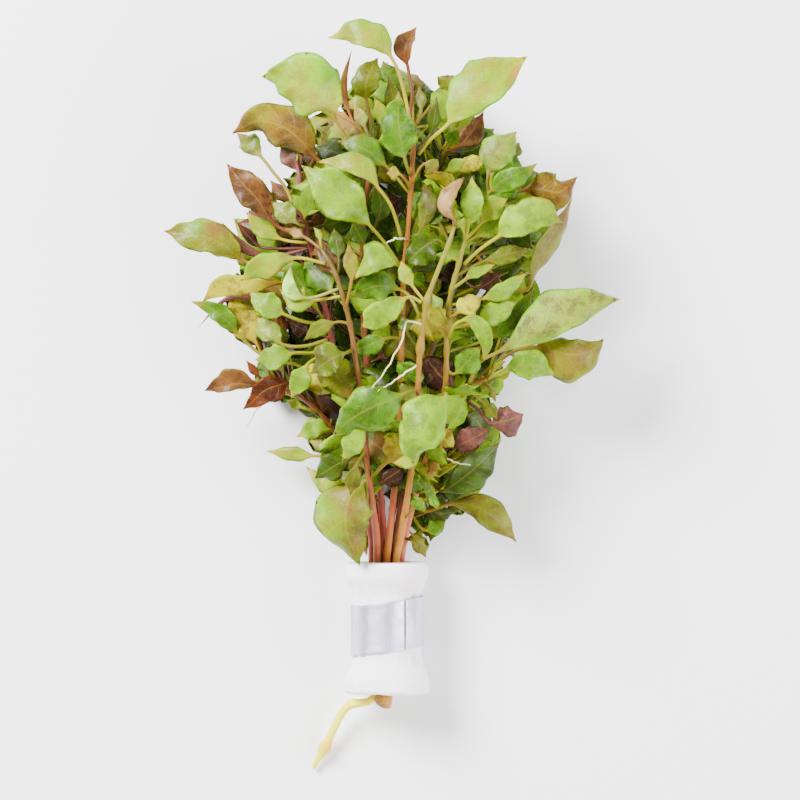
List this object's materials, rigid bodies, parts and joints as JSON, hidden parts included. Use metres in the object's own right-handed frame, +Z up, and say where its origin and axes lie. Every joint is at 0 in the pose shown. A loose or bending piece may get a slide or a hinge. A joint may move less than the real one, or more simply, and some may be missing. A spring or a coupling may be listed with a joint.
{
  "type": "bunch of alternanthera aquarium plant cuttings in a foam sleeve",
  "caption": "Bunch of leafy green and red-brown plant cuttings lying down, the stems held in a white foam sleeve with a soft metal strip lapped round it.",
  "frame": {"origin": "middle of the bounding box at the surface that the bunch lies on", "axes": "+Y along the bunch from the cut stem ends to the leaf tops, +Z up from the surface, +X across the bunch"},
  "size_m": [0.1374, 0.2272, 0.0586],
  "materials": {
    "foam": "matte",
    "strip_metal": "satin",
    "stem_skin": "satin",
    "leaf_amber": "satin",
    "leaf_bright": "satin",
    "leaf_deep": "satin",
    "leaf_green": "satin",
    "leaf_khaki": "satin",
    "leaf_lime": "satin",
    "leaf_olive": "satin",
    "leaf_pink": "satin",
    "leaf_purple": "satin",
    "leaf_red": "satin",
    "leaf_russet": "satin",
    "leaf_sage": "satin",
    "leaf_yellow": "satin"
  },
  "bodies": {
    "root": {"foam_sleeve": "foam", "metal_strip": "strip_metal", "stem_front": "stem_skin", "stem_right_tall": "stem_skin", "stem_crown": "stem_skin", "stem_upper_left": "stem_skin", "stem_left": "stem_skin", "stem_centre_left": "stem_skin", "stem_low_left": "stem_skin", "stem_right": "stem_skin", "stem_low_centre": "stem_skin", "stem_upper_right": "stem_skin", "leaf_floor_a": "leaf_deep", "leaf_floor_b": "leaf_green", "leaf_floor_c": "leaf_deep", "leaf_floor_d": "leaf_green", "leaf_lower_left": "leaf_khaki", "leaf_tan_right": "leaf_khaki", "leaf_gloss_right": "leaf_green", "leaf_brown_left": "leaf_russet", "leaf_red_left": "leaf_red", "leaf_green_left": "leaf_green", "leaf_yellow_left": "leaf_yellow", "leaf_far_left": "leaf_khaki", "leaf_pale_left": "leaf_sage", "leaf_russet_left": "leaf_russet", "leaf_amber_left": "leaf_amber", "leaf_veined_left": "leaf_sage", "leaf_green_round": "leaf_bright", "leaf_bright_left": "leaf_bright", "leaf_olive_round": "leaf_lime", "leaf_hook_left": "leaf_bright", "leaf_olive_broad": "leaf_olive", "leaf_big_upper_left": "leaf_lime", "leaf_olive_top": "leaf_olive", "leaf_top": "leaf_lime", "leaf_top_russet": "leaf_russet", "leaf_spear": "leaf_bright", "leaf_long_petiole": "leaf_lime", "leaf_centre_left": "leaf_bright", "leaf_upper_right": "leaf_lime", "leaf_round_right": "leaf_sage", "leaf_green_right": "leaf_green", "leaf_amber_right": "leaf_amber", "leaf_edge_right": "leaf_purple", "leaf_broad_right": "leaf_bright", "leaf_upright_right": "leaf_bright", "leaf_pink_fold": "leaf_pink", "leaf_yellow_centre": "leaf_bright", "leaf_green_centre": "leaf_green", "leaf_spoon_centre": "leaf_bright", "leaf_curl_right": "leaf_bright", "leaf_veined_right": "leaf_sage", "leaf_veined_brown": "leaf_khaki", "leaf_bright_right": "leaf_bright", "leaf_purple_right": "leaf_purple", "leaf_front_big": "leaf_bright", "leaf_gloss_front": "leaf_green"}
  },
  "joints": []
}
